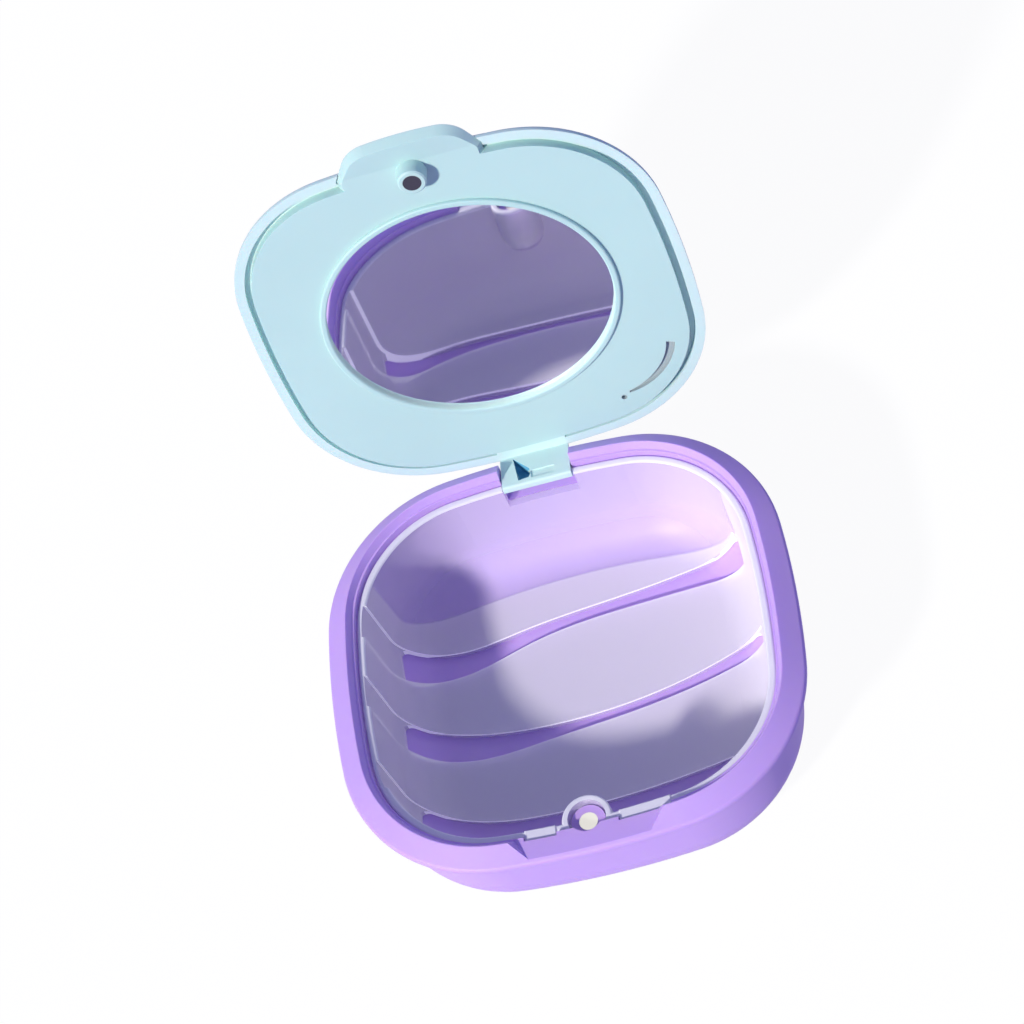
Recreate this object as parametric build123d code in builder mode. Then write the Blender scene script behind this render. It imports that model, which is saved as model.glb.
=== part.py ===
from build123d import *
from math import cos, radians, sin, sqrt, tan
import os

os.makedirs("parts", exist_ok=True)

# A small clamshell case for dental aligners: a drafted tub with a spread flange, a lift-out
# tray with three curved slots, and a flat lid that carries an oval mirror.
# The origin is the middle of the underside, +Y points to the hinge, +Z is up, and the
# lid stands open as it rests. Lid pieces are drawn closed and then swung about the hinge.

# Plan outline at the rim crest, a rectangle with bowed sides and round corners
half_width = 36.5
half_depth = 35.5
side_radius = 157.0
corner_radius = 23.1

# Heights of the tub
crest_height = 25.4
flange_reach = 3.5
bevel_drop = 1.8
flange_edge = 1.3
flange_blend = 1.5
flange_soft = 0.7
flange_under_soft = 0.8
back_trim = 1.0
relief_reach = 1.8
body_reach = 1.4
body_draft = 5.7
foot_radius = 11.2

# Inside of the tub
floor_thickness = 2.0
lead_in_start = 0.15
lead_in = 0.9
lead_in_drop = 1.2
wall_inset = 1.25
wall_draft = 3.0
inner_foot_radius = 9.0

# Thumb recess in the front of the flange
recess_drop = 1.4
recess_inner_half = 12.2
recess_outer_half = 9.9
recess_inner_inset = 1.6
recess_outer_reach = 3.0
recess_flare = 38.0

# Magnet closure, one disc in a post of the tub and one in a boss of the lid
magnet_inset = 2.9
magnet_thickness = 2.0
base_magnet_diameter = 3.1
lid_magnet_diameter = 3.0
post_radius = 2.85
post_drop = 3.44
post_length = 5.2
boss_radius = 2.3
boss_draft = 4.0
boss_chamfer = 0.25
boss_clearance = 0.4
closing_gap = 0.14

# Hinge across the back, on the line of the crest
hinge_drop = 3.42
open_angle = 101.4
pin_diameter = 1.2
pin_inner_end = 4.2
pin_outer_end = 9.8
bore_clearance = 0.05
notch_half = 6.35
notch_drop = 7.0
arm_side_gap = 0.25
arm_front = 1.3
arm_back = 1.5
arm_root_rise = 1.65
arm_drop = 6.7
arm_tip_soft = 0.45
arm_back_soft = 1.0
tray_notch_drop = 6.9

# Lift-out tray
tray_inset = 1.5
tray_drop = 2.2
tray_wall = 1.3
tray_floor = 1.2
tray_foot_radius = 9.0
stand_height = 0.2
stand_radius = 0.8
groove_depth = 0.5
rim_soft = 0.4
bay_radius = 3.2
bay_wall = 1.0
lip_inset = 0.75
lip_rise = 0.25
lip_depth = 0.7
lip_soft = 0.2
lip_clearance = 0.15
lip_spans = ((-10.4, -5.2), (5.4, 14.0))
slot_corner = 1.1

# Lid
lid_gap = 0.25
lid_height = 3.0
lid_trim = 1.0
lid_edge = 0.8
lid_edge_soft = 0.6
lid_slope = 1.95
lid_slope_soft = 3.0
band_width = 1.65
panel_inset = 2.75
ledge_width = 1.1
moat_depth = 1.1
lid_skin = 1.45
panel_drop = 0.45
tab_root_half = 12.0
tab_tip_half = 8.9
tab_root_inset = 1.5
tab_corner_reach = 3.7
tab_reach = 4.35
tab_corner_radius = 5.5
tab_bevel = 36.0
tab_drop = 1.15
tab_top = 0.55
tab_clearance = 0.12
tab_tail = 3.5
tab_slope_inset = 1.0
tab_slope_start = 3.0

# Mirror
mirror_half_width = 23.8
mirror_half_depth = 22.3
mirror_offset = 1.8
bezel_width = 1.1
bezel_height = 0.7
bezel_soft = 0.3
mirror_rebate = 0.8
mirror_clearance = 0.1
mirror_setback = 0.2
mirror_thickness = 1.2
pad_margin = 1.0

# Feet under the tray, as shares of the half width and half depth
stand_places = [(-0.5, 0.2), (0.5, 0.2), (-0.5, -0.32), (0.5, -0.32)]

# Curved slots of the tray, as where the floor opening starts and points of the back and
# front edges, all in shares of the half width and half depth
back_slot = (
    -0.866,
    [(-0.99, 0.485), (-0.77, 0.462), (-0.575, 0.434), (-0.3, 0.47), (0.3, 0.538), (0.827, 0.625)],
    [(-0.99, 0.315), (-0.77, 0.299), (-0.575, 0.299), (-0.27, 0.383), (0.3, 0.456), (0.827, 0.477)],
)
middle_slot = (
    -0.89,
    [(-0.99, 0.124), (-0.85, 0.062), (-0.6, -0.028), (-0.25, -0.079), (0.38, -0.028), (0.85, 0.13)],
    [(-0.99, -0.045), (-0.85, -0.101), (-0.6, -0.175), (-0.25, -0.163), (0.38, -0.09), (0.85, 0.039)],
)
front_slot = (
    -0.86,
    [(-0.99, -0.332), (-0.85, -0.4), (-0.575, -0.51), (-0.25, -0.552), (0.27, -0.532), (0.69, -0.468)],
    [(-0.99, -0.473), (-0.85, -0.535), (-0.575, -0.628), (-0.25, -0.637), (0.27, -0.608), (0.69, -0.563)],
)

# Relief groove of the lid near one hinge corner, as points of its two edges inward from the
# side and the back of the crest, and the dimple beyond its tip
relief_outer_edge = [(6.7, 18.3), (10.3, 12.55), (13.8, 10.4), (16.9, 9.7)]
relief_inner_edge = [(8.1, 18.9), (11.1, 13.45), (14.2, 11.15), (16.9, 10.1)]
relief_dimple = (18.1, 9.0)
relief_dimple_radius = 0.5
relief_depth = 0.7

# Pocket and step in the front of the hinge arm, as places across and above the hinge axis
arm_pocket = [(-3.8, 3.2), (-3.15, -2.2), (-1.27, -1.96), (-0.88, -0.96), (-1.08, 0.08)]
arm_pocket_depth = 2.2
arm_step = [(-0.85, -0.5), (3.3, -0.5), (3.3, -2.2), (-0.85, -2.2)]
arm_step_depth = 0.25

# Derived heights
flange_top = crest_height - bevel_drop
flange_bottom = flange_top - flange_edge
body_top = flange_bottom - flange_blend
wall_top = crest_height - lead_in_drop
hinge_height = crest_height - hinge_drop
post_top = crest_height - post_drop
tray_top = crest_height - tray_drop
tray_bottom = floor_thickness + stand_height
tray_floor_top = tray_bottom + tray_floor
lid_bottom = crest_height + lid_gap
moat_height = lid_bottom + moat_depth
lid_edge_top = lid_bottom + lid_edge
lid_top = crest_height + lid_height
skin_bottom = lid_top - lid_skin
panel_bottom = crest_height - panel_drop
bezel_bottom = panel_bottom - bezel_height
mirror_bottom = panel_bottom + mirror_setback
mirror_top = mirror_bottom + mirror_thickness
boss_bottom = post_top + closing_gap

# Derived places across and along the case
magnet_y = magnet_inset - half_depth
hinge_y = half_depth
mirror_y = -mirror_offset
tab_root_y = tab_root_inset - half_depth
tab_corner_y = -half_depth - tab_corner_reach
tab_reach_y = -half_depth - tab_reach
tab_slope_y = tab_slope_inset - half_depth
arm_half = notch_half - arm_side_gap
hinge_axis = Axis((0, hinge_y, hinge_height), (1, 0, 0))


def case_outline(grow, trim=0.0):
    """The crest outline moved outward by grow, with the back pulled in by trim."""
    side = half_width + grow
    front = half_depth + grow
    back = front - trim
    bow = side_radius + grow

    def corner(depth):
        across = bow - side
        along = bow - depth
        chord = sqrt(across**2 + along**2)
        rise = sqrt(bow**2 - (chord / 2) ** 2)
        return -across / 2 + rise * along / chord, -along / 2 + rise * across / chord

    back_x, back_y = corner(back)
    front_x, front_y = corner(front)
    with BuildSketch() as outline:
        with BuildLine():
            ThreePointArc((-back_x, back_y), (0, back), (back_x, back_y))
            ThreePointArc((back_x, back_y), (side, 0), (front_x, -front_y))
            ThreePointArc((front_x, -front_y), (0, -front), (-front_x, -front_y))
            ThreePointArc((-front_x, -front_y), (-side, 0), (-back_x, back_y))
        make_face()
        fillet(outline.vertices(), corner_radius + grow)
    return outline.sketch


def tub_form(top, bottom, grow, draft, radius):
    """A drafted solid on the case outline, grow at its top, with a rounded foot."""
    with BuildPart() as tub:
        with BuildSketch(Plane.XY.offset(bottom)):
            add(case_outline(grow - (top - bottom) * tan(radians(draft))))
        with BuildSketch(Plane.XY.offset(top)):
            add(case_outline(grow))
        loft()
        fillet(tub.edges().group_by(Axis.Z)[0], radius)
    return tub.part


def edges_at(part, height):
    """The edges that lie level at a height."""
    return part.edges().filter_by_position(Axis.Z, height - 0.001, height + 0.001)


def tab_outline(grow):
    """The thumb tab in plan, from inside the panel edge to its bowed front edge."""
    root = tab_root_half + grow
    tip = tab_tip_half + grow
    with BuildSketch() as tab:
        with BuildLine():
            Line((tip, tab_corner_y - grow), (root, tab_root_y))
            Line((root, tab_root_y), (root, tab_root_y + tab_tail))
            Line((root, tab_root_y + tab_tail), (-root, tab_root_y + tab_tail))
            Line((-root, tab_root_y + tab_tail), (-root, tab_root_y))
            Line((-root, tab_root_y), (-tip, tab_corner_y - grow))
            ThreePointArc(
                (-tip, tab_corner_y - grow),
                (0, tab_reach_y - grow),
                (tip, tab_corner_y - grow),
            )
        make_face()
        fillet(tab.vertices().sort_by(Axis.Y)[:2], tab_corner_radius)
    return tab.sketch


def from_corner(places):
    """Plan points for places measured inward from the right side and the back of the crest."""
    return [(half_width - inward, half_depth - forward) for inward, forward in places]


def relief_outline():
    """The tapered curved groove near one hinge corner of the lid, with its dimple."""
    outer_edge = from_corner(relief_outer_edge)
    inner_edge = from_corner(relief_inner_edge)
    with BuildSketch() as groove:
        with BuildLine():
            Spline(*outer_edge)
            Line(outer_edge[-1], inner_edge[-1])
            Spline(*inner_edge)
            Line(inner_edge[0], outer_edge[0])
        make_face()
        with Locations(from_corner([relief_dimple])):
            Circle(relief_dimple_radius)
    return groove.sketch


# Base shell: tub, flange and rim
with BuildPart() as base_shell:
    add(tub_form(body_top, 0, body_reach, body_draft, foot_radius))
    with BuildSketch(Plane.XY.offset(body_top)):
        add(case_outline(body_reach))
    with BuildSketch(Plane.XY.offset(flange_bottom)):
        add(case_outline(flange_reach, back_trim))
    loft()
    with BuildSketch(Plane.XY.offset(flange_bottom)):
        add(case_outline(flange_reach, back_trim))
    extrude(amount=flange_edge)
    with BuildSketch(Plane.XY.offset(flange_top)):
        add(case_outline(flange_reach, back_trim))
    with BuildSketch(Plane.XY.offset(crest_height)):
        add(case_outline(0))
    loft()
    fillet(edges_at(base_shell, flange_top), flange_soft)
    fillet(edges_at(base_shell, flange_bottom), flange_under_soft)
    fillet(edges_at(base_shell, body_top), flange_blend)

    # Flat behind the hinge that lets the lid edge swing down
    with BuildSketch(Plane.XY.offset(body_top - flange_blend)):
        with Locations((0, half_depth + relief_reach)):
            Rectangle(2 * half_width, 2 * flange_reach, align=(Align.CENTER, Align.MIN))
    extrude(amount=crest_height, mode=Mode.SUBTRACT)

    # Cavity with a lead-in and a narrow ledge below the crest
    with BuildSketch(Plane.XY.offset(wall_top)):
        add(case_outline(-lead_in))
    with BuildSketch(Plane.XY.offset(crest_height)):
        add(case_outline(-lead_in_start))
    loft(mode=Mode.SUBTRACT)
    add(tub_form(wall_top, floor_thickness, -wall_inset, wall_draft, inner_foot_radius), mode=Mode.SUBTRACT)

    # Thumb recess with flared ends
    with BuildSketch(Plane.XY.offset(crest_height - recess_drop)):
        with BuildLine():
            Polyline(
                (-recess_inner_half, recess_inner_inset - half_depth),
                (recess_inner_half, recess_inner_inset - half_depth),
                (recess_outer_half, -half_depth - recess_outer_reach),
                (-recess_outer_half, -half_depth - recess_outer_reach),
                close=True,
            )
        make_face()
    extrude(amount=2 * recess_drop, taper=-recess_flare, mode=Mode.SUBTRACT)

    # Seats for the lips of the tray
    for lip_start, lip_end in lip_spans:
        with BuildSketch(Plane.XY.offset(tray_top - lip_depth - lip_clearance)):
            add(case_outline(lip_clearance - lip_inset))
            with Locations(((lip_start + lip_end) / 2, magnet_y)):
                Rectangle(
                    lip_end - lip_start + 2 * lip_clearance,
                    2 * flange_reach,
                    mode=Mode.INTERSECT,
                )
        extrude(amount=crest_height, mode=Mode.SUBTRACT)

    # Magnet post with a domed lower end, and the bay above it for the boss of the lid
    with BuildSketch(Plane.XY.offset(post_top)):
        with Locations((0, magnet_y)):
            Circle(post_radius)
    extrude(amount=-post_length)
    with Locations((0, magnet_y, post_top - post_length)):
        Sphere(post_radius)
    with BuildSketch(Plane.XY.offset(post_top)):
        with Locations((0, magnet_y)):
            Circle(boss_radius + boss_clearance)
    extrude(amount=crest_height, mode=Mode.SUBTRACT)
    with BuildSketch(Plane.XY.offset(post_top)):
        with Locations((0, magnet_y)):
            Circle(base_magnet_diameter / 2)
    extrude(amount=-magnet_thickness, mode=Mode.SUBTRACT)

    # Hinge notch and the pin holes in its ears
    with BuildSketch(Plane.XY.offset(crest_height - notch_drop)):
        with Locations((0, hinge_y)):
            Rectangle(2 * notch_half, 2 * flange_reach + 2 * wall_inset)
    extrude(amount=crest_height, mode=Mode.SUBTRACT)
    with BuildSketch(Plane.YZ):
        with Locations((hinge_y, hinge_height)):
            Circle(pin_diameter / 2)
    extrude(amount=pin_outer_end, both=True, mode=Mode.SUBTRACT)

# Magnet disc pressed into the post
with BuildPart() as base_magnet:
    with BuildSketch(Plane.XY.offset(post_top)):
        with Locations((0, magnet_y)):
            Circle(base_magnet_diameter / 2)
    extrude(amount=-magnet_thickness)


def slot_outline(slot, opening):
    """The band between the two edges of a tray slot, cut square at its start for an opening."""
    start, back_shares, front_shares = slot
    back_edge = [(x * half_width, y * half_depth) for x, y in back_shares]
    front_edge = [(x * half_width, y * half_depth) for x, y in front_shares]
    with BuildSketch() as band:
        with BuildLine():
            Spline(*back_edge)
            Line(back_edge[-1], front_edge[-1])
            Spline(*front_edge)
            Line(front_edge[0], back_edge[0])
        make_face()
        if opening:
            with Locations((half_width * (1 + start), 0)):
                Rectangle(2 * half_width, 2 * half_depth, mode=Mode.INTERSECT)
            fillet(band.vertices(), slot_corner)
    return band.sketch


# Lift-out tray
with BuildPart() as tray_column:
    with BuildSketch(Plane.XY.offset(post_top - post_length)):
        with Locations((0, magnet_y)):
            Circle(bay_radius + bay_wall)
    extrude(amount=tray_top - post_top + post_length)
    with Locations((0, magnet_y, post_top - post_length)):
        Sphere(bay_radius + bay_wall)

with BuildPart() as tray_void:
    add(
        tub_form(
            tray_top,
            tray_floor_top,
            -tray_inset - tray_wall,
            wall_draft,
            tray_foot_radius - tray_wall,
        )
    )
    add(tray_column.part, mode=Mode.SUBTRACT)

with BuildPart() as inner_tray:
    add(tub_form(tray_top, tray_bottom, -tray_inset, wall_draft, tray_foot_radius))
    add(tray_void.part, mode=Mode.SUBTRACT)
    fillet(edges_at(inner_tray, tray_top), rim_soft)

    # Lifting lips on the front rim
    for lip_start, lip_end in lip_spans:
        with BuildSketch(Plane.XY.offset(tray_top - lip_depth)):
            add(case_outline(-lip_inset))
            add(case_outline(-tray_inset - tray_wall), mode=Mode.SUBTRACT)
            with Locations(((lip_start + lip_end) / 2, magnet_y)):
                Rectangle(lip_end - lip_start, 2 * flange_reach, mode=Mode.INTERSECT)
        extrude(amount=lip_depth + lip_rise)
    fillet(edges_at(inner_tray, tray_top + lip_rise), lip_soft)

    # Four low feet that hold it off the floor of the tub
    with BuildSketch(Plane.XY.offset(floor_thickness)):
        with Locations(*[(x * half_width, y * half_depth) for x, y in stand_places]):
            Circle(stand_radius)
    extrude(amount=stand_height)

    # Bay that clears the magnet post
    with BuildSketch(Plane.XY.offset(post_top - post_length)):
        with Locations((0, magnet_y)):
            Circle(bay_radius)
    extrude(amount=crest_height, mode=Mode.SUBTRACT)
    with Locations((0, magnet_y, post_top - post_length)):
        Sphere(bay_radius, mode=Mode.SUBTRACT)

    # Grooves up the left wall that run on as slots through the floor
    for slot in (back_slot, middle_slot, front_slot):
        with BuildPart(mode=Mode.PRIVATE) as groove:
            with BuildSketch():
                add(slot_outline(slot, False))
            extrude(amount=crest_height)
            add(
                tub_form(
                    tray_top,
                    tray_floor_top - groove_depth,
                    groove_depth - tray_inset - tray_wall,
                    wall_draft,
                    tray_foot_radius - tray_wall + groove_depth,
                ),
                mode=Mode.INTERSECT,
            )
        add(groove.part, mode=Mode.SUBTRACT)
        with BuildSketch():
            add(slot_outline(slot, True))
        extrude(amount=tray_floor_top + tray_foot_radius, mode=Mode.SUBTRACT)

    # Notch that lets the hinge arm swing in
    with BuildSketch(Plane.XY.offset(crest_height - tray_notch_drop)):
        with Locations((0, hinge_y)):
            Rectangle(2 * notch_half, 6 * tray_inset)
    extrude(amount=crest_height, mode=Mode.SUBTRACT)

# Short steel pins pressed into the ears
with BuildPart() as hinge_pin_right:
    with BuildSketch(Plane.YZ.offset(pin_inner_end)):
        with Locations((hinge_y, hinge_height)):
            Circle(pin_diameter / 2)
    extrude(amount=pin_outer_end - pin_inner_end)
with BuildPart() as hinge_pin_left:
    add(mirror(hinge_pin_right.part, about=Plane.YZ, mode=Mode.PRIVATE))

# Lid cover: a shallow moulding with a sloped edge, a rim band, a ledge for the panel and
# the hinge arm
with BuildPart() as closed_cover:
    with BuildSketch(Plane.XY.offset(lid_bottom)):
        add(case_outline(0, lid_trim))
    extrude(amount=lid_edge)
    with BuildSketch(Plane.XY.offset(lid_edge_top)):
        add(case_outline(0, lid_trim))
    with BuildSketch(Plane.XY.offset(lid_top)):
        add(case_outline(-lid_slope, lid_trim))
    loft()
    fillet(edges_at(closed_cover, lid_top), lid_slope_soft)
    fillet(edges_at(closed_cover, lid_edge_top), lid_edge_soft)
    with BuildSketch(Plane.XY.offset(lid_bottom)):
        add(case_outline(-band_width, lid_trim))
    extrude(amount=moat_depth, mode=Mode.SUBTRACT)
    with BuildSketch(Plane.XY.offset(moat_height)):
        add(case_outline(-panel_inset - ledge_width, lid_trim))
    extrude(amount=skin_bottom - moat_height, mode=Mode.SUBTRACT)
    with BuildSketch(Plane.XY.offset(lid_bottom)):
        add(tab_outline(tab_clearance))
    extrude(amount=tab_top + tab_clearance - lid_gap, mode=Mode.SUBTRACT)

    # Hinge arm, from a root that fills the groove behind the panel
    with BuildSketch(Plane.YZ) as arm_profile:
        with BuildLine():
            Polyline(
                (hinge_y - panel_inset - lid_trim, lid_bottom),
                (hinge_y - arm_front, lid_bottom),
                (hinge_y - arm_front, crest_height - arm_drop),
                (hinge_y, crest_height - arm_drop),
                (hinge_y + arm_back, hinge_height - arm_back / 2),
                (hinge_y + arm_back, hinge_height + arm_back),
                (hinge_y - arm_front - lid_trim, lid_bottom + arm_root_rise),
                (hinge_y - panel_inset - lid_trim, lid_bottom + arm_root_rise),
                close=True,
            )
        make_face()
        fillet(arm_profile.vertices().sort_by(Axis.X)[-2:], arm_back_soft)
        fillet(arm_profile.vertices().sort_by(Axis.Y)[:2], arm_tip_soft)
    extrude(amount=arm_half, both=True)
    with BuildSketch(Plane.YZ):
        with Locations((hinge_y, hinge_height)):
            Circle(pin_diameter / 2 + bore_clearance)
    extrude(amount=arm_half, both=True, mode=Mode.SUBTRACT)

    # Moulding pocket and shallow step in the front of the arm
    with BuildSketch(Plane.XZ.offset(arm_front - hinge_y)):
        with BuildLine():
            Polyline(*[(x, hinge_height + rise) for x, rise in arm_pocket], close=True)
        make_face()
    extrude(amount=-arm_pocket_depth, mode=Mode.SUBTRACT)
    with BuildSketch(Plane.XZ.offset(arm_front - hinge_y)):
        with BuildLine():
            Polyline(*[(x, hinge_height + rise) for x, rise in arm_step], close=True)
        make_face()
    extrude(amount=-arm_step_depth, mode=Mode.SUBTRACT)
with BuildPart() as lid_cover:
    add(closed_cover.part.rotate(hinge_axis, -open_angle))

# Lid panel with thumb tab, mirror bezel and magnet boss
with BuildPart() as closed_panel:
    with BuildSketch(Plane.XY.offset(panel_bottom)):
        add(case_outline(-panel_inset, lid_trim))
    extrude(amount=moat_height - panel_bottom)
    with BuildSketch(Plane.XY.offset(crest_height + tab_top)):
        add(tab_outline(0))
    extrude(amount=-tab_drop - tab_top, taper=tab_bevel)
    with BuildSketch(Plane.YZ):
        with BuildLine():
            Polyline(
                (tab_root_y + tab_slope_start, panel_bottom),
                (tab_slope_y, panel_bottom),
                (tab_reach_y, crest_height - tab_drop),
                (tab_reach_y, crest_height - 2 * tab_drop),
                (tab_root_y + tab_slope_start, crest_height - 2 * tab_drop),
                close=True,
            )
        make_face()
    extrude(amount=half_width, both=True, mode=Mode.SUBTRACT)
    with BuildSketch(Plane.XY.offset(boss_bottom)):
        with Locations((0, magnet_y)):
            Circle(boss_radius)
    extrude(amount=panel_bottom - boss_bottom, taper=-boss_draft)
    chamfer(edges_at(closed_panel, boss_bottom), boss_chamfer)
    with BuildSketch(Plane.XY.offset(boss_bottom)):
        with Locations((0, magnet_y)):
            Circle(lid_magnet_diameter / 2)
    extrude(amount=magnet_thickness, mode=Mode.SUBTRACT)
    with BuildSketch(Plane.XY.offset(bezel_bottom)):
        with Locations((0, mirror_y)):
            Ellipse(mirror_half_width + bezel_width, mirror_half_depth + bezel_width)
    extrude(amount=bezel_height)
    with BuildSketch(Plane.XY.offset(bezel_bottom)):
        with Locations((0, mirror_y)):
            Ellipse(mirror_half_width, mirror_half_depth)
    extrude(amount=lid_height, mode=Mode.SUBTRACT)
    fillet(edges_at(closed_panel, bezel_bottom), bezel_soft)
    with BuildSketch(Plane.XY.offset(mirror_bottom)):
        with Locations((0, mirror_y)):
            Ellipse(mirror_half_width + mirror_rebate, mirror_half_depth + mirror_rebate)
    extrude(amount=lid_height, mode=Mode.SUBTRACT)
    with BuildSketch(Plane.XY.offset(panel_bottom)):
        add(relief_outline())
    extrude(amount=relief_depth, mode=Mode.SUBTRACT)
with BuildPart() as lid_panel:
    add(closed_panel.part.rotate(hinge_axis, -open_angle))

# Mirror glass in the rebate behind the bezel, with its foam pad
with BuildPart() as closed_glass:
    with BuildSketch(Plane.XY.offset(mirror_bottom)):
        with Locations((0, mirror_y)):
            Ellipse(
                mirror_half_width + mirror_rebate - mirror_clearance,
                mirror_half_depth + mirror_rebate - mirror_clearance,
            )
    extrude(amount=mirror_thickness)
with BuildPart() as mirror_glass:
    add(closed_glass.part.rotate(hinge_axis, -open_angle))

with BuildPart() as closed_pad:
    with BuildSketch(Plane.XY.offset(mirror_top)):
        with Locations((0, mirror_y)):
            Ellipse(mirror_half_width - pad_margin, mirror_half_depth - pad_margin)
    extrude(amount=skin_bottom - mirror_top)
with BuildPart() as mirror_pad:
    add(closed_pad.part.rotate(hinge_axis, -open_angle))

# Magnet disc in the boss of the lid
with BuildPart() as closed_magnet:
    with BuildSketch(Plane.XY.offset(boss_bottom)):
        with Locations((0, magnet_y)):
            Circle(lid_magnet_diameter / 2)
    extrude(amount=magnet_thickness)
with BuildPart() as lid_magnet:
    add(closed_magnet.part.rotate(hinge_axis, -open_angle))

base_shell.part.label = "base_shell"
inner_tray.part.label = "inner_tray"
base_magnet.part.label = "base_magnet"
hinge_pin_left.part.label = "hinge_pin_left"
hinge_pin_right.part.label = "hinge_pin_right"
lid_cover.part.label = "lid_cover"
lid_panel.part.label = "lid_panel"
mirror_glass.part.label = "mirror_glass"
mirror_pad.part.label = "mirror_pad"
lid_magnet.part.label = "lid_magnet"

export_step(base_shell.part, "parts/base_shell.step")
export_step(inner_tray.part, "parts/inner_tray.step")
export_step(base_magnet.part, "parts/base_magnet.step")
export_step(hinge_pin_left.part, "parts/hinge_pin_left.step")
export_step(hinge_pin_right.part, "parts/hinge_pin_right.step")
export_step(lid_cover.part, "parts/lid_cover.step")
export_step(lid_panel.part, "parts/lid_panel.step")
export_step(mirror_glass.part, "parts/mirror_glass.step")
export_step(mirror_pad.part, "parts/mirror_pad.step")
export_step(lid_magnet.part, "parts/lid_magnet.step")
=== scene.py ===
from math import cos, radians, sin, tan

import bpy
import numpy as np
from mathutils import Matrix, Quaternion, Vector


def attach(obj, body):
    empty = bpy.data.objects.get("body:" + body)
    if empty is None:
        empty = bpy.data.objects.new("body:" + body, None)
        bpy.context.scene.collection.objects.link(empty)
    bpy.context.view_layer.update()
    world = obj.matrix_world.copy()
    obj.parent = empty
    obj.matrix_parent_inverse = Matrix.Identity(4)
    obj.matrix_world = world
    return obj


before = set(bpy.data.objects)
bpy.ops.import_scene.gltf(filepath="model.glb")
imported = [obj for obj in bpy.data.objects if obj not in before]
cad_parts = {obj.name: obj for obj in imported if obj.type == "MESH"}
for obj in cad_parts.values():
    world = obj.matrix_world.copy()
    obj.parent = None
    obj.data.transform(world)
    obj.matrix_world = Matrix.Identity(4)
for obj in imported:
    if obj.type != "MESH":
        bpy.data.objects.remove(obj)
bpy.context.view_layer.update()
mm = 0.001

# The set: a pale table, a camera high on the right of the case and turned on its own axis,
# one lamp far off at the front left like low sun, and a soft cool room around them. The table
# and the room look white to the camera, and the table keeps a faint shadow of the case.
aim_point = Vector((-4.65, 26.51, 25.4)) * mm
camera_distance = 562.93 * mm
camera_azimuth = radians(17.28)
camera_elevation = radians(54.93)
camera_roll = radians(-28.82)
camera_lens = 116.84
camera_near = 50 * mm
sun_travel = Vector((2.0, 2.57, -2.16))
sun_strength = 3.6
sun_colour = (1.0, 0.97, 0.9)
sun_softness = radians(5.0)
room_light = (0.38, 0.41, 1.0)
room_strength = 0.4
white = (1, 1, 1, 1)
table_half = 2.5
table_drop = 0.05 * mm
table_paint = (0.5, 0.47, 0.68)
table_glow = 0.95
table_shadow_share = 0.06

scene = bpy.context.scene
scene.view_settings.view_transform = "Standard"

toward_camera = Vector(
    (
        sin(camera_azimuth) * cos(camera_elevation),
        -cos(camera_azimuth) * cos(camera_elevation),
        sin(camera_elevation),
    )
)
camera = bpy.data.objects.new("camera", bpy.data.cameras.new("camera"))
scene.collection.objects.link(camera)
camera.data.lens = camera_lens
camera.data.clip_start = camera_near
camera.location = aim_point + camera_distance * toward_camera
camera.rotation_mode = "QUATERNION"
camera.rotation_quaternion = (-toward_camera).to_track_quat("-Z", "Y") @ Quaternion(
    (0, 0, 1), camera_roll
)
scene.camera = camera

sun = bpy.data.objects.new("sun", bpy.data.lights.new("sun", "SUN"))
scene.collection.objects.link(sun)
sun.data.energy = sun_strength
sun.data.color = sun_colour
sun.data.angle = sun_softness
sun.rotation_mode = "QUATERNION"
sun.rotation_quaternion = sun_travel.to_track_quat("-Z", "Y")


def seen_directly(nodes, links):
    """One where a camera, mirror or glass ray looks at the surface, and zero for its light."""
    path = nodes.new("ShaderNodeLightPath")
    seen = nodes.new("ShaderNodeMath")
    seen.operation = "ADD"
    links.new(path.outputs["Is Camera Ray"], seen.inputs[0])
    links.new(path.outputs["Is Glossy Ray"], seen.inputs[1])
    total = nodes.new("ShaderNodeMath")
    total.operation = "ADD"
    total.use_clamp = True
    links.new(seen.outputs[0], total.inputs[0])
    links.new(path.outputs["Is Transmission Ray"], total.inputs[1])
    return total.outputs[0]


world = bpy.data.worlds.new("room")
world.use_nodes = True
scene.world = world
nodes, links = world.node_tree.nodes, world.node_tree.links
nodes.clear()
room = nodes.new("ShaderNodeBackground")
room.inputs["Color"].default_value = (*room_light, 1)
room.inputs["Strength"].default_value = room_strength
backdrop = nodes.new("ShaderNodeBackground")
backdrop.inputs["Color"].default_value = white
mix = nodes.new("ShaderNodeMixShader")
output = nodes.new("ShaderNodeOutputWorld")
links.new(seen_directly(nodes, links), mix.inputs["Fac"])
links.new(room.outputs[0], mix.inputs[1])
links.new(backdrop.outputs[0], mix.inputs[2])
links.new(mix.outputs[0], output.inputs["Surface"])

table_corners = [
    (x * table_half, y * table_half, -table_drop)
    for x, y in ((-1, -1), (1, -1), (1, 1), (-1, 1))
]
table_mesh = bpy.data.meshes.new("table")
table_mesh.from_pydata(table_corners, [], [(0, 1, 2, 3)])
table = bpy.data.objects.new("table", table_mesh)
scene.collection.objects.link(table)
table_finish = bpy.data.materials.new("table_paint")
table_finish.use_nodes = True
nodes, links = table_finish.node_tree.nodes, table_finish.node_tree.links
nodes.clear()
paint = nodes.new("ShaderNodeBsdfDiffuse")
paint.inputs["Color"].default_value = (*table_paint, 1)
shadow = nodes.new("ShaderNodeBsdfDiffuse")
shadow.inputs["Color"].default_value = (*[table_shadow_share] * 3, 1)
glow = nodes.new("ShaderNodeEmission")
glow.inputs["Color"].default_value = white
glow.inputs["Strength"].default_value = table_glow
bright = nodes.new("ShaderNodeAddShader")
mix = nodes.new("ShaderNodeMixShader")
output = nodes.new("ShaderNodeOutputMaterial")
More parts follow.
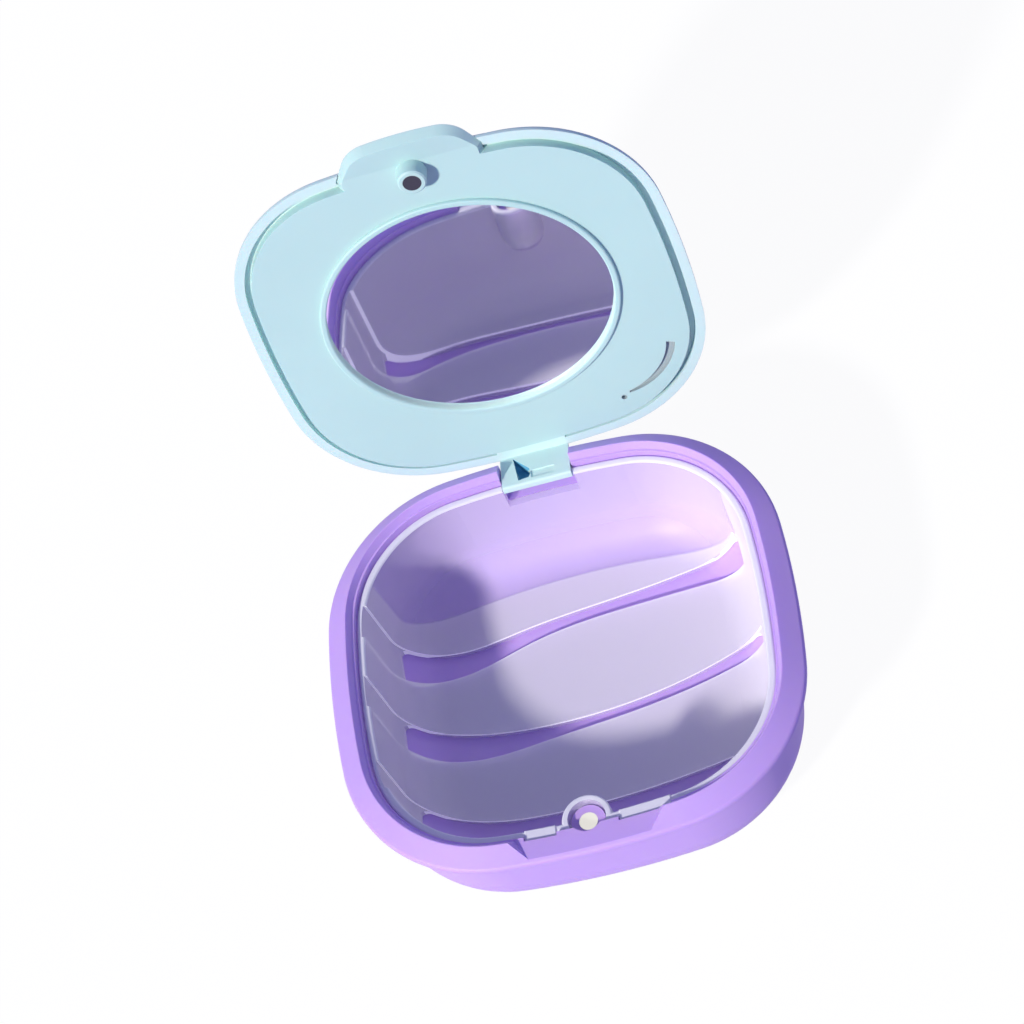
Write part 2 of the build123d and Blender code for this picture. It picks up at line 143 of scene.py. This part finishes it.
links.new(shadow.outputs[0], bright.inputs[0])
links.new(glow.outputs[0], bright.inputs[1])
links.new(seen_directly(nodes, links), mix.inputs["Fac"])
links.new(paint.outputs[0], mix.inputs[1])
links.new(bright.outputs[0], mix.inputs[2])
links.new(mix.outputs[0], output.inputs["Surface"])
table.data.materials.append(table_finish)

# Tub: one purple moulding in soft-touch polypropylene, with a fine spark-eroded grain on all
# of its faces and a faint clouding in the colour where the melt cooled. Light passes a little
# way into its thin walls, so its shaded side glows violet.
tub_colour = (0.57, 0.385, 0.83)
tub_roughness = 0.55
tub_clouding = 0.02
tub_glow = 0.35
tub_glow_reach = (0.9, 0.45, 2.4)
mould_grain_size = 0.12
mould_grain_depth = 0.02 * mm
mould_grain_strength = 0.25
gloss_swing = 0.06
cloud_scale = 45.0
cloud_spread = (0.3, 0.7)


def moulded_grain():
    """A node group for moulded plastic: fine grain, a slow clouding mask and a roughness.

    The grain is noise whose lumps are Grain Size millimetres wide. The clouding is slower
    noise, stretched to run from zero to one. The roughness is Gloss plus a small part of
    the grain.
    """
    group = bpy.data.node_groups.new("moulded_grain", "ShaderNodeTree")
    for name in ("Grain Size", "Gloss"):
        group.interface.new_socket(name, in_out="INPUT", socket_type="NodeSocketFloat")
    for name in ("Height", "Clouding", "Roughness"):
        group.interface.new_socket(name, in_out="OUTPUT", socket_type="NodeSocketFloat")
    nodes, links = group.nodes, group.links
    into, out = nodes.new("NodeGroupInput"), nodes.new("NodeGroupOutput")
    place = nodes.new("ShaderNodeTexCoord")
    per_metre = nodes.new("ShaderNodeMath")
    per_metre.operation = "DIVIDE"
    per_metre.inputs[0].default_value = 1 / mm
    links.new(into.outputs["Grain Size"], per_metre.inputs[1])
    grain = nodes.new("ShaderNodeTexNoise")
    grain.inputs["Detail"].default_value = 3.0
    links.new(place.outputs["Object"], grain.inputs["Vector"])
    links.new(per_metre.outputs[0], grain.inputs["Scale"])
    cloud = nodes.new("ShaderNodeTexNoise")
    cloud.inputs["Scale"].default_value = cloud_scale
    cloud.inputs["Detail"].default_value = 2.0
    links.new(place.outputs["Object"], cloud.inputs["Vector"])
    spread = nodes.new("ShaderNodeMapRange")
    spread.inputs["From Min"].default_value = cloud_spread[0]
    spread.inputs["From Max"].default_value = cloud_spread[1]
    links.new(cloud.outputs["Fac"], spread.inputs["Value"])
    rough = nodes.new("ShaderNodeMapRange")
    rough.inputs["To Min"].default_value = -gloss_swing
    rough.inputs["To Max"].default_value = gloss_swing
    links.new(grain.outputs["Fac"], rough.inputs["Value"])
    total = nodes.new("ShaderNodeMath")
    total.operation = "ADD"
    links.new(rough.outputs[0], total.inputs[0])
    links.new(into.outputs["Gloss"], total.inputs[1])
    links.new(grain.outputs["Fac"], out.inputs["Height"])
    links.new(spread.outputs[0], out.inputs["Clouding"])
    links.new(total.outputs[0], out.inputs["Roughness"])
    return group


grain_group = moulded_grain()


def moulded_plastic(name, colour, roughness, grain_size, grain_depth, clouding):
    """A moulded plastic: colour with slow clouding, grain in its bump and roughness.

    The clouding mask mixes the colour a share darker with the colour the same share lighter.
    """
    finish = bpy.data.materials.new(name)
    finish.use_nodes = True
    nodes, links = finish.node_tree.nodes, finish.node_tree.links
    shader = nodes["Principled BSDF"]
    grain = nodes.new("ShaderNodeGroup")
    grain.node_tree = grain_group
    grain.inputs["Grain Size"].default_value = grain_size
    grain.inputs["Gloss"].default_value = roughness
    tint = nodes.new("ShaderNodeMix")
    tint.data_type = "RGBA"
    tint.inputs["A"].default_value = (*[c * (1 - clouding) for c in colour], 1)
    tint.inputs["B"].default_value = (*[min(1, c * (1 + clouding)) for c in colour], 1)
    links.new(grain.outputs["Clouding"], tint.inputs["Factor"])
    links.new(tint.outputs["Result"], shader.inputs["Base Color"])
    links.new(grain.outputs["Roughness"], shader.inputs["Roughness"])
    bump = nodes.new("ShaderNodeBump")
    bump.inputs["Strength"].default_value = mould_grain_strength
    bump.inputs["Distance"].default_value = grain_depth
    links.new(grain.outputs["Height"], bump.inputs["Height"])
    links.new(bump.outputs["Normal"], shader.inputs["Normal"])
    return finish


def let_light_in(finish, share, reach):
    """Light enters the plastic and comes out again up to reach millimetres away."""
    shader = finish.node_tree.nodes["Principled BSDF"]
    shader.inputs["Subsurface Weight"].default_value = share
    shader.inputs["Subsurface Radius"].default_value = reach
    shader.inputs["Subsurface Scale"].default_value = mm


def dress(node, *finishes):
    """Gives a CAD node its finishes, the first of them over all of its faces."""
    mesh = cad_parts[node].data
    mesh.materials.clear()
    for finish in finishes:
        mesh.materials.append(finish)


tub_finish = moulded_plastic(
    "tub_polypropylene",
    tub_colour,
    tub_roughness,
    mould_grain_size,
    mould_grain_depth,
    tub_clouding,
)
let_light_in(tub_finish, tub_glow, tub_glow_reach)
dress("base_shell", tub_finish)

# Tub magnet: a disc with satin nickel plating of a warm white, pressed flush into the post.
# It mirrors the white room softly, so it stays bright where the rim shades it.
plating_metal_share = 0.85
plating_grain_size = 0.2
plating_grain_depth = 0.01 * mm

magnet_plating = moulded_plastic(
    "magnet_plating",
    (0.88, 0.86, 0.77),
    roughness=0.32,
    grain_size=plating_grain_size,
    grain_depth=plating_grain_depth,
    clouding=0.03,
)
plating_shader = magnet_plating.node_tree.nodes["Principled BSDF"]
plating_shader.inputs["Metallic"].default_value = plating_metal_share
dress("base_magnet", magnet_plating)

# Hinge pins: two short cuts of drawn steel wire pressed into the ears of the tub. The drawing
# leaves fine lines along the wire and uneven gloss.
wire_colour = (0.6, 0.6, 0.62)
wire_line_size = 0.15 * mm
wire_line_length = 6.0 * mm
wire_line_depth = 0.01 * mm
wire_line_strength = 0.4
wire_roughness = (0.22, 0.42)


def drawn_wire():
    """Bare steel whose gloss and bump follow fine lines that run along the wire.

    The lines are noise stretched along x, by the ratio of their length to their width.
    """
    finish = bpy.data.materials.new("drawn_wire")
    finish.use_nodes = True
    nodes, links = finish.node_tree.nodes, finish.node_tree.links
    shader = nodes["Principled BSDF"]
    shader.inputs["Base Color"].default_value = (*wire_colour, 1)
    shader.inputs["Metallic"].default_value = 1.0
    place = nodes.new("ShaderNodeTexCoord")
    stretch = nodes.new("ShaderNodeMapping")
    stretch.inputs["Scale"].default_value = (
        1 / wire_line_length,
        1 / wire_line_size,
        1 / wire_line_size,
    )
    lines = nodes.new("ShaderNodeTexNoise")
    lines.inputs["Scale"].default_value = 1.0
    links.new(place.outputs["Object"], stretch.inputs["Vector"])
    links.new(stretch.outputs[0], lines.inputs["Vector"])
    gloss = nodes.new("ShaderNodeMapRange")
    gloss.inputs["To Min"].default_value = wire_roughness[0]
    gloss.inputs["To Max"].default_value = wire_roughness[1]
    links.new(lines.outputs["Fac"], gloss.inputs["Value"])
    links.new(gloss.outputs[0], shader.inputs["Roughness"])
    bump = nodes.new("ShaderNodeBump")
    bump.inputs["Strength"].default_value = wire_line_strength
    bump.inputs["Distance"].default_value = wire_line_depth
    links.new(lines.outputs["Fac"], bump.inputs["Height"])
    links.new(bump.outputs["Normal"], shader.inputs["Normal"])
    return finish


pin_finish = drawn_wire()
dress("hinge_pin_left", pin_finish)
dress("hinge_pin_right", pin_finish)

# Tray: a clear moulding with a light frost, so the purple of the tub shows through a white
# haze. The back wall is clearer than the rest, up to the line where the floor begins to turn
# up. Its cut edges look nearly white, and the top band of the slot walls has a faint painted
# glow that stands for the light which the edges gather.
wall_haze = (0.22, 0.6)
floor_haze = (0.52, 0.75)
edge_haze = (0.9, 0.97)
rim_haze = (0.8, 0.92)
skirt_haze = 0.12
foot_haze = (0.0, 0.0)
haze_falloff = 0.4
wall_tint = (0.87, 0.8, 0.99)
floor_tint = (0.94, 0.93, 0.93)
edge_tint = (0.95, 0.95, 0.97)
rim_tint = (0.88, 0.88, 0.93)
# Colour and strength of the painted glow on the slot edges, which stands for gathered light.
edge_painted_glow = (0.78, 0.74, 1.0)
edge_painted_glow_strength = 0.22
frost_grain_size = 0.3
frost_grain_depth = 0.01 * mm
frost_grain_strength = 0.2
tray_roughness = 0.42
edge_roughness = 0.4
foot_roughness = 0.3
crease_place = 24.9 * mm
crease_middle = 2.0 * mm
crease_bow = 3.8
crease_blur = 0.25 * mm
wall_start = 4.1 * mm
tray_floor_top = 3.4 * mm
tray_bottom = 2.2 * mm
foot_gap = 0.01 * mm
edge_band = 0.55 * mm
edge_band_fade = 0.6
rim_height = 22.75 * mm
slots_across = 35 * mm
slots_along = 26 * mm
slot_lip = 0.4 * mm
slot_end_from = 26 * mm
slot_end_top = 9 * mm
grooves_up_to = -12 * mm
upright = 0.45
sideways = 0.8
barely_up = 0.02
edge_number, outside_number, foot_number, rim_number = 1, 2, 3, 4


def frosted(name, haze, tint, roughness):
    """A hazy clear plastic, its haze thicker where it is seen at a low angle."""
    finish = bpy.data.materials.new(name)
    finish.use_nodes = True
    nodes, links = finish.node_tree.nodes, finish.node_tree.links
    shader = nodes["Principled BSDF"]
    shader.inputs["Base Color"].default_value = (*tint, 1)
    facing = nodes.new("ShaderNodeLayerWeight")
    facing.inputs["Blend"].default_value = haze_falloff
    depth = nodes.new("ShaderNodeMapRange")
    depth.name = "haze"
    depth.inputs["To Min"].default_value = haze[0]
    depth.inputs["To Max"].default_value = haze[1]
    links.new(facing.outputs["Facing"], depth.inputs["Value"])
    links.new(depth.outputs[0], shader.inputs["Alpha"])
    grain = nodes.new("ShaderNodeGroup")
    grain.node_tree = grain_group
    grain.inputs["Grain Size"].default_value = frost_grain_size
    grain.inputs["Gloss"].default_value = roughness
    links.new(grain.outputs["Roughness"], shader.inputs["Roughness"])
    bump = nodes.new("ShaderNodeBump")
    bump.inputs["Strength"].default_value = frost_grain_strength
    bump.inputs["Distance"].default_value = frost_grain_depth
    links.new(grain.outputs["Height"], bump.inputs["Height"])
    links.new(bump.outputs["Normal"], shader.inputs["Normal"])
    return finish


def frosted_body():
    """Haze and tint that step from floor to back wall at the crease.

    The step is where y plus the bow times the square of x, with x taken from the middle of
    the crease, passes the crease's place.
    """
    finish = frosted("frosted_tray", wall_haze, wall_tint, tray_roughness)
    nodes, links = finish.node_tree.nodes, finish.node_tree.links
    shader, wall = nodes["Principled BSDF"], nodes["haze"]
    place = nodes.new("ShaderNodeTexCoord")
    split = nodes.new("ShaderNodeSeparateXYZ")
    links.new(place.outputs["Object"], split.inputs[0])
    aside = nodes.new("ShaderNodeMath")
    aside.operation = "SUBTRACT"
    aside.inputs[1].default_value = crease_middle
    links.new(split.outputs["X"], aside.inputs[0])
    square = nodes.new("ShaderNodeMath")
    square.operation = "MULTIPLY"
    links.new(aside.outputs[0], square.inputs[0])
    links.new(aside.outputs[0], square.inputs[1])
    along = nodes.new("ShaderNodeMath")
    along.operation = "MULTIPLY_ADD"
    along.inputs[1].default_value = crease_bow
    links.new(square.outputs[0], along.inputs[0])
    links.new(split.outputs["Y"], along.inputs[2])
    low = nodes.new("ShaderNodeMapRange")
    low.interpolation_type = "SMOOTHSTEP"
    low.inputs["From Min"].default_value = crease_place - crease_blur
    low.inputs["From Max"].default_value = crease_place + crease_blur
    low.inputs["To Min"].default_value = 1.0
    low.inputs["To Max"].default_value = 0.0
    links.new(along.outputs[0], low.inputs["Value"])
    floor = nodes.new("ShaderNodeMapRange")
    floor.inputs["To Min"].default_value = floor_haze[0]
    floor.inputs["To Max"].default_value = floor_haze[1]
    links.new(nodes["Layer Weight"].outputs["Facing"], floor.inputs["Value"])
    haze = nodes.new("ShaderNodeMix")
    links.new(low.outputs[0], haze.inputs["Factor"])
    links.new(wall.outputs[0], haze.inputs["A"])
    links.new(floor.outputs[0], haze.inputs["B"])
    links.new(haze.outputs["Result"], shader.inputs["Alpha"])
    tint = nodes.new("ShaderNodeMix")
    tint.data_type = "RGBA"
    tint.inputs["A"].default_value = (*wall_tint, 1)
    tint.inputs["B"].default_value = (*floor_tint, 1)
    links.new(low.outputs[0], tint.inputs["Factor"])
    links.new(tint.outputs["Result"], shader.inputs["Base Color"])
    return finish


def frosted_edge_painted_glow():
    """A cut edge with a painted glow in the top band of the floor slots, fading to clear skirts
    below.

    The fade runs in height from the foot of the band to a share of its depth below the floor.
    """
    finish = frosted("frosted_edge_painted_glow", edge_haze, edge_tint, edge_roughness)
    nodes, links = finish.node_tree.nodes, finish.node_tree.links
    shader, haze = nodes["Principled BSDF"], nodes["haze"]
    place = nodes.new("ShaderNodeTexCoord")
    split = nodes.new("ShaderNodeSeparateXYZ")
    links.new(place.outputs["Object"], split.inputs[0])
    band = nodes.new("ShaderNodeMapRange")
    band.interpolation_type = "SMOOTHSTEP"
    band.inputs["From Min"].default_value = tray_floor_top - edge_band
    band.inputs["From Max"].default_value = tray_floor_top - edge_band_fade * edge_band
    links.new(split.outputs["Z"], band.inputs["Value"])
    share = nodes.new("ShaderNodeMix")
    share.inputs["A"].default_value = skirt_haze
    links.new(band.outputs[0], share.inputs["Factor"])
    links.new(haze.outputs[0], share.inputs["B"])
    links.new(share.outputs["Result"], shader.inputs["Alpha"])
    # The painted glow: an emission in the top band of the slot walls, standing for gathered
    # light.
    glow = nodes.new("ShaderNodeMix")
    glow.data_type = "RGBA"
    glow.inputs["A"].default_value = (0, 0, 0, 1)
    glow.inputs["B"].default_value = (*edge_painted_glow, 1)
    links.new(band.outputs[0], glow.inputs["Factor"])
    links.new(glow.outputs["Result"], shader.inputs["Emission Color"])
    shader.inputs["Emission Strength"].default_value = edge_painted_glow_strength
    return finish


def finish_faces(node, number, chosen):
    """Puts the finish of that number on the faces where chosen(centre, normal) is true."""
    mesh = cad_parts[node].data
    count = len(mesh.polygons)
    centre = np.empty(3 * count)
    normal = np.empty(3 * count)
    held = np.empty(count, dtype=np.int32)
    mesh.polygons.foreach_get("center", centre)
    mesh.polygons.foreach_get("normal", normal)
    mesh.polygons.foreach_get("material_index", held)
    held[chosen(centre.reshape(-1, 3).T, normal.reshape(-1, 3).T)] = number
    mesh.polygons.foreach_set("material_index", held)
    mesh.update()


def slot_walls(centre, normal):
    """The upright cut faces of the floor slots, and the side faces of the wall grooves.

    A slot's right end runs up the turn of the floor, so its sides are taken up to there.
    """
    x, y, z = centre
    inside = (abs(x) < slots_across) & (abs(y) < slots_along)
    in_floor = (z > tray_bottom) & (z < tray_floor_top + slot_lip) & (abs(normal[2]) < upright)
    in_wall = (z > tray_floor_top) & (z < rim_height) & (abs(normal[1]) > sideways)
    at_right_end = (x > slot_end_from) & (z < slot_end_top)
    return inside & (in_floor | (in_wall & ((x < grooves_up_to) | at_right_end)))


def outer_faces(centre, normal):
    """The underside and the outer side of the walls."""
    outward = centre[0] * normal[0] + centre[1] * normal[1] > 0
    wall_side = outward & (normal[2] < barely_up) & (centre[2] > wall_start)
    return (normal[2] < -upright) | wall_side


def rim_faces(centre, normal):
    """Everything above the height where the rim begins."""
    return centre[2] > rim_height


def foot_faces(centre, normal):
    """Everything below the underside of the floor."""
    return centre[2] < tray_bottom - foot_gap


dress(
    "inner_tray",
    frosted_body(),
    frosted_edge_painted_glow(),
    frosted("frosted_outside", wall_haze, wall_tint, tray_roughness),
    frosted("clear_foot", foot_haze, wall_tint, foot_roughness),
    frosted("frosted_rim", rim_haze, rim_tint, edge_roughness),
)
finish_faces("inner_tray", outside_number, outer_faces)
# The slot walls take the edge finish with its painted glow.
finish_faces("inner_tray", edge_number, slot_walls)
finish_faces("inner_tray", rim_number, rim_faces)
finish_faces("inner_tray", foot_number, foot_faces)

# Lid cover and panel: two pale blue mouldings pressed together, with the same grain as the
# tub. The relief groove in one corner of the panel has an even matt floor painted a darker
# grey, which is painted shade for the inside of the groove. The moulding pocket in the hinge
# arm of the cover is painted a deeper blue inside, which is painted shade.
cover_colour = (0.61, 0.81, 0.785)
panel_colour = (0.49, 0.715, 0.69)
# Painted shade: the darker grey of the relief groove stands for the shade inside it.
relief_painted_shade_colour = (0.36, 0.44, 0.46)
lid_roughness = 0.5
relief_roughness = 0.8
pocket_roughness = 0.6
lid_clouding = 0.015
lid_glow = 0.25
lid_glow_reach = (0.5, 1.0, 1.3)
hinge_place = Vector((0, 35.5, 21.98)) * mm
closing_turn = radians(101.4)
panel_face = 24.95 * mm
relief_depth = 0.7 * mm
relief_low = (14 * mm, 14 * mm)
relief_high = (32 * mm, 28 * mm)
relief_gap = 0.02 * mm
# Painted shade: the deeper blue of the pocket stands for the shade inside it.
pocket_painted_shade_colour = (0.12, 0.42, 0.60)
pocket_low = (-3.85 * mm, 34.25 * mm, 19.7 * mm)
pocket_high = (-0.85 * mm, 36.45 * mm, 25.25 * mm)
back_facing = 0.3
second_finish = 1


def lid_plastic(name, colour, roughness):
    """The blue plastic of the lid, which lets a little light in."""
    finish = moulded_plastic(
        name, colour, roughness, mould_grain_size, mould_grain_depth, lid_clouding
    )
    let_light_in(finish, lid_glow, lid_glow_reach)
    return finish


def on_closed_lid(places):
    """Places on the open lid, turned about the hinge to where they are when it is closed."""
    y, z = places[1] - hinge_place.y, places[2] - hinge_place.z
    along = hinge_place.y + cos(closing_turn) * y - sin(closing_turn) * z
    up = hinge_place.z + sin(closing_turn) * y + cos(closing_turn) * z
    return places[0], along, up


def relief_faces(centre, normal):
    """The faces of the relief groove that take its painted shade, found by their places on the
    closed lid.
    """
    across, along, up = on_closed_lid(centre)
    near = (across > relief_low[0]) & (across < relief_high[0])
    near &= (along > relief_low[1]) & (along < relief_high[1])
    return near & (up > panel_face + relief_gap) & (up < panel_face + relief_depth + relief_gap)


def pocket_faces(centre, normal):
    """The walls and floor of the pocket that take its painted shade, all but those facing
    backwards on the closed lid.
    """
    across, along, up = on_closed_lid(centre)
    near = (across > pocket_low[0]) & (across < pocket_high[0])
    near &= (along > pocket_low[1]) & (along < pocket_high[1])
    backwards = cos(closing_turn) * normal[1] - sin(closing_turn) * normal[2] > back_facing
    return near & (up > pocket_low[2]) & (up < pocket_high[2]) & ~backwards


cover_finish = lid_plastic("lid_cover_plastic", cover_colour, lid_roughness)
# The pocket's finish is the same blue plastic painted darker, as painted shade.
pocket_painted_shade_finish = lid_plastic("arm_pocket_painted_shade", pocket_painted_shade_colour, pocket_roughness)
dress("lid_cover", cover_finish, pocket_painted_shade_finish)
finish_faces("lid_cover", second_finish, pocket_faces)
panel_finish = lid_plastic("lid_panel_plastic", panel_colour, lid_roughness)
# The groove's finish is the panel's plastic painted a darker grey, as painted shade.
relief_painted_shade_finish = lid_plastic("relief_matt_painted_shade", relief_painted_shade_colour, relief_roughness)
dress("lid_panel", panel_finish, relief_painted_shade_finish)
finish_faces("lid_panel", second_finish, relief_faces)

# Skin of the arm pocket: the thin wall of the cover between the moulding pocket in the hinge
# arm and the sloped back of the arm, in the same blue plastic and part of the same moulding.
# Its inside carries the painted shade of the pocket, a deeper blue, and its outside the blue of
# the cover.
skin_across = (-4.3 * mm, -2.4 * mm)
skin_rise = (1.95 * mm, 3.4 * mm)
skin_thickness = 0.3 * mm
skin_depth = 0.24 * mm
slope_start_along = 1.5 * mm
slope_start_rise = 1.5 * mm
skin_steps = 5


def arm_pocket_skin():
    """A sheet over x and height, as far inside the 45 degree back of the arm as skin_depth.

    Its distance behind the hinge is the start of the slope less the height above that start
    and less skin_depth. The sheet is then turned about the hinge to the open lid.
    """
    across, rise = np.meshgrid(
        np.linspace(*skin_across, skin_steps), np.linspace(*skin_rise, skin_steps)
    )
    along = slope_start_along - (rise - slope_start_rise) - skin_depth
    turned_along = hinge_place.y + cos(closing_turn) * along + sin(closing_turn) * rise
    turned_up = hinge_place.z - sin(closing_turn) * along + cos(closing_turn) * rise
    points = np.stack([across, turned_along, turned_up], axis=-1).reshape(-1, 3)
    corner = np.arange(skin_steps * skin_steps).reshape(skin_steps, skin_steps)
    faces = np.stack(
        [corner[:-1, :-1], corner[:-1, 1:], corner[1:, 1:], corner[1:, :-1]], axis=-1
    ).reshape(-1, 4)
    mesh = bpy.data.meshes.new("arm_pocket_skin")
    mesh.from_pydata(points.tolist(), [], faces.tolist())
    mesh.materials.append(pocket_painted_shade_finish)
    mesh.materials.append(cover_finish)
    piece = bpy.data.objects.new("arm_pocket_skin", mesh)
    scene.collection.objects.link(piece)
    wall = piece.modifiers.new("wall", "SOLIDIFY")
    wall.thickness = skin_thickness
    wall.offset = 0
    wall.material_offset = second_finish
    wall.material_offset_rim = second_finish
    return piece


pocket_skin = arm_pocket_skin()
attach(pocket_skin, "lid")

# Mirror: float glass silvered on its back, held behind the bezel on a pad of foam tape. Its
# normal is turned by a lean that was fitted to the reflection in the photograph, and wiping
# has left its gloss a little uneven.
mirror_lean_up = 2.7
mirror_lean_side = -0.57
mirror_silver = (0.97, 0.95, 0.98)
mirror_roughness = (0.01, 0.04)
smear_scale = 120.0


def silvered_glass():
    """A mirror whose height rises evenly over its face, which turns its normal by the lean.

    The height is x times the tangent of the lean to the side, plus z times that of the lean
    upwards.
    """
    finish = bpy.data.materials.new("silvered_glass")
    finish.use_nodes = True
    nodes, links = finish.node_tree.nodes, finish.node_tree.links
    shader = nodes["Principled BSDF"]
    shader.inputs["Base Color"].default_value = (*mirror_silver, 1)
    shader.inputs["Metallic"].default_value = 1.0
    place = nodes.new("ShaderNodeTexCoord")
    rise = nodes.new("ShaderNodeVectorMath")
    rise.operation = "DOT_PRODUCT"
    rise.inputs[1].default_value = (
        tan(radians(mirror_lean_side)),
        0,
        tan(radians(mirror_lean_up)),
    )
    links.new(place.outputs["Object"], rise.inputs[0])
    lean = nodes.new("ShaderNodeBump")
    lean.inputs["Strength"].default_value = 1.0
    lean.inputs["Distance"].default_value = 1.0
    links.new(rise.outputs["Value"], lean.inputs["Height"])
    links.new(lean.outputs["Normal"], shader.inputs["Normal"])
    smear = nodes.new("ShaderNodeTexNoise")
    smear.inputs["Scale"].default_value = smear_scale
    links.new(place.outputs["Object"], smear.inputs["Vector"])
    gloss = nodes.new("ShaderNodeMapRange")
    gloss.inputs["To Min"].default_value = mirror_roughness[0]
    gloss.inputs["To Max"].default_value = mirror_roughness[1]
    links.new(smear.outputs["Fac"], gloss.inputs["Value"])
    links.new(gloss.outputs[0], shader.inputs["Roughness"])
    return finish


dress("mirror_glass", silvered_glass())
foam_tape = moulded_plastic(
    "foam_tape",
    (0.8, 0.8, 0.8),
    roughness=0.8,
    grain_size=0.3,
    grain_depth=0.05 * mm,
    clouding=0.05,
)
dress("mirror_pad", foam_tape)

# Lid magnet: a disc with dull black plating, pressed into the boss of the panel. It meets the
# tub's magnet when the lid is shut.
dark_plating = moulded_plastic(
    "dark_plating",
    (0.03, 0.026, 0.05),
    roughness=0.5,
    grain_size=plating_grain_size,
    grain_depth=plating_grain_depth,
    clouding=0.1,
)
dress("lid_magnet", dark_plating)
